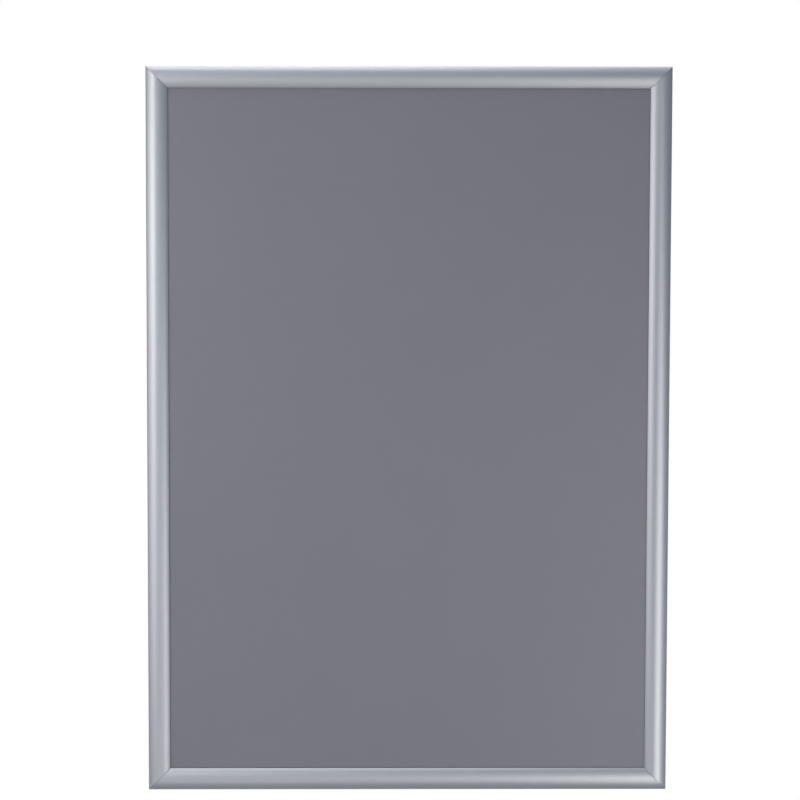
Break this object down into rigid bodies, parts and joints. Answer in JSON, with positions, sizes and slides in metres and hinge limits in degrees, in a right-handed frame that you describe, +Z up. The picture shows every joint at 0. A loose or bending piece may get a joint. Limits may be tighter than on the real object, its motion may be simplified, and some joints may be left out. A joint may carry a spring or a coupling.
{
  "type": "snap poster frame",
  "caption": "Wall-hung aluminium snap frame for an A1 poster: mitred rails whose covers flip open on sprung hinges, over a grey back panel and a clear sheet.",
  "frame": {"origin": "on the wall plane, halfway between the two wall-fixing holes of the top rail", "axes": "+Z up along the frame's height, -Y out of the wall towards the viewer, +X to the right as seen from the front"},
  "size_m": [0.626, 0.012, 0.873],
  "materials": {
    "cover_rail": "extruded, satin silver anodised",
    "base_rail": "extruded, silver anodised",
    "leaf_spring": "hardened spring strip",
    "corner_key": "stamped and zinc plated",
    "key_screw": "zinc plated",
    "back_panel": "extruded polystyrene sheet, matt grey",
    "cover_sheet": "clear anti-glare sheet"
  },
  "bodies": {
    "frame": {"base_rail_bottom": "base_rail", "base_rail_right": "base_rail", "base_rail_top": "base_rail", "base_rail_left": "base_rail", "corner_key_bottom_left": "corner_key", "corner_key_bottom_right": "corner_key", "corner_key_top_right": "corner_key", "corner_key_top_left": "corner_key", "key_screw_bottom_1": "key_screw", "key_screw_bottom_2": "key_screw", "key_screw_right_1": "key_screw", "key_screw_right_2": "key_screw", "key_screw_top_1": "key_screw", "key_screw_top_2": "key_screw", "key_screw_left_1": "key_screw", "key_screw_left_2": "key_screw", "back_panel": "back_panel", "cover_sheet": "cover_sheet"},
    "cover_bottom": {"cover_rail_bottom": "cover_rail"},
    "cover_right": {"cover_rail_right": "cover_rail"},
    "cover_top": {"cover_rail_top": "cover_rail"},
    "cover_left": {"cover_rail_left": "cover_rail"},
    "springs_bottom": {"spring_bottom_1": "leaf_spring", "spring_bottom_2": "leaf_spring"},
    "springs_right": {"spring_right_1": "leaf_spring", "spring_right_2": "leaf_spring", "spring_right_3": "leaf_spring"},
    "springs_top": {"spring_top_1": "leaf_spring", "spring_top_2": "leaf_spring"},
    "springs_left": {"spring_left_1": "leaf_spring", "spring_left_2": "leaf_spring", "spring_left_3": "leaf_spring"}
  },
  "joints": [
    {"name": "cover_bottom_hinge", "type": "hinge", "parent": "frame", "child": "cover_bottom", "pos_m": [0, -0.0046, -0.8607], "axis": [1, 0, 0], "range_deg": [0, 100], "deforming": ["spring_bottom_1", "spring_bottom_2"]},
    {"name": "cover_right_hinge", "type": "hinge", "parent": "frame", "child": "cover_right", "pos_m": [0.3107, -0.0046, -0.4265], "axis": [0, 0, 1], "range_deg": [0, 100], "deforming": ["spring_right_1", "spring_right_2", "spring_right_3"]},
    {"name": "cover_top_hinge", "type": "hinge", "parent": "frame", "child": "cover_top", "pos_m": [0, -0.0046, 0.0077], "axis": [-1, 0, 0], "range_deg": [0, 100], "deforming": ["spring_top_1", "spring_top_2"]},
    {"name": "cover_left_hinge", "type": "hinge", "parent": "frame", "child": "cover_left", "pos_m": [-0.3107, -0.0046, -0.4265], "axis": [0, 0, -1], "range_deg": [0, 100], "deforming": ["spring_left_1", "spring_left_2", "spring_left_3"]},
    {"name": "springs_bottom_pivot", "type": "hinge", "parent": "frame", "child": "springs_bottom", "pos_m": [0, -0.00819, -0.84895], "axis": [1, 0, 0], "range_deg": [-39.3, 0]},
    {"name": "springs_right_pivot", "type": "hinge", "parent": "frame", "child": "springs_right", "pos_m": [0.29895, -0.00819, -0.4265], "axis": [0, 0, 1], "range_deg": [-39.3, 0]},
    {"name": "springs_top_pivot", "type": "hinge", "parent": "frame", "child": "springs_top", "pos_m": [0, -0.00819, -0.00405], "axis": [-1, 0, 0], "range_deg": [-39.3, 0]},
    {"name": "springs_left_pivot", "type": "hinge", "parent": "frame", "child": "springs_left", "pos_m": [-0.29895, -0.00819, -0.4265], "axis": [0, 0, -1], "range_deg": [-39.3, 0]}
  ],
  "couplings": [
    {"joint": "springs_bottom_pivot", "follows": "cover_bottom_hinge", "ratio": -0.39227},
    {"joint": "springs_right_pivot", "follows": "cover_right_hinge", "ratio": -0.39227},
    {"joint": "springs_top_pivot", "follows": "cover_top_hinge", "ratio": -0.39227},
    {"joint": "springs_left_pivot", "follows": "cover_left_hinge", "ratio": -0.39227}
  ]
}
